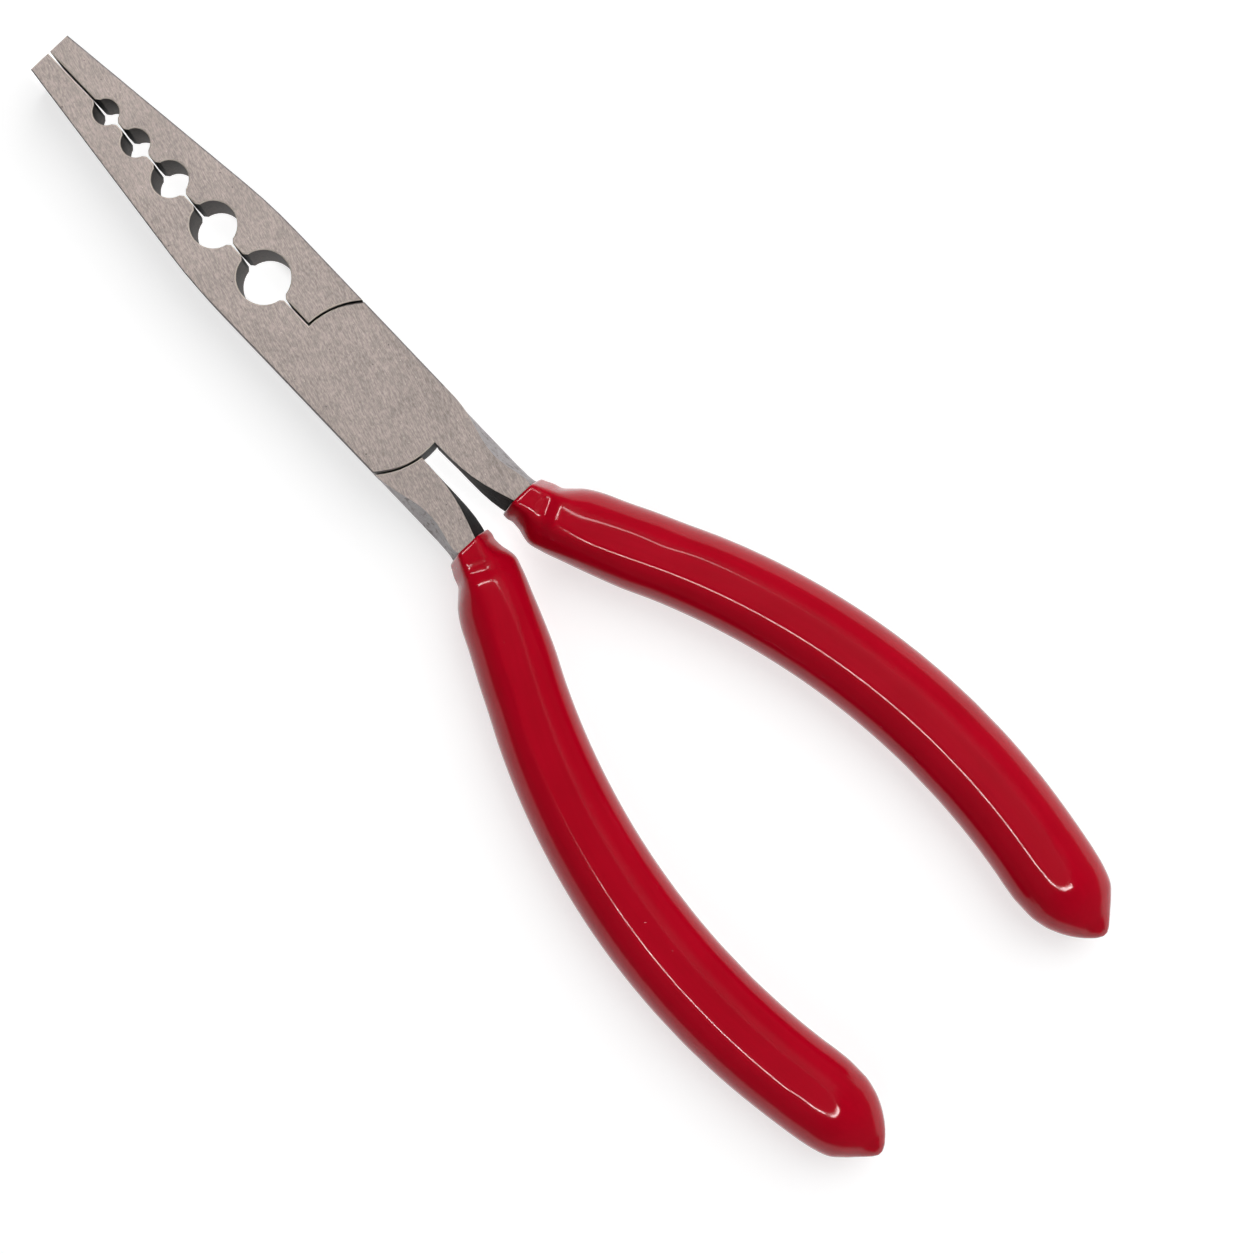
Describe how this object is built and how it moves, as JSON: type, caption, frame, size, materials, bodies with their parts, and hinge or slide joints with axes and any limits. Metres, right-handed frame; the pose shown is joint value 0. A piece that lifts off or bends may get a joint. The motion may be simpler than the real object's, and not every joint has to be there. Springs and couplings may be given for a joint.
{
  "type": "crimping pliers",
  "caption": "Lap-joint hand pliers with tapering flat jaws, graded round crimp holes along the jaw seam and dip-moulded handle grips.",
  "frame": {"origin": "where the pivot's axis meets the joint's lower ground face", "axes": "+Y from the pivot to the jaw tips, +Z along the pivot's axis, out of the upper ground face, +X to the right"},
  "size_m": [0.0494, 0.1498, 0.0097],
  "materials": {
    "forged_steel": "satin ground faces, forged sides",
    "rivet_steel": "ground flush with the joint",
    "grip_pvc": "deep gloss, dip-moulded"
  },
  "bodies": {
    "upper_half": {"upper_lap_half": "forged_steel", "pivot_rivet": "rivet_steel", "right_grip": "grip_pvc"},
    "lower_half": {"lower_lap_half": "forged_steel", "left_grip": "grip_pvc"}
  },
  "joints": [
    {"name": "pivot", "type": "hinge", "parent": "upper_half", "child": "lower_half", "pos_m": [0, 0, 0.004], "axis": [0, 0, -1], "range_deg": [-0.25, 100]}
  ]
}
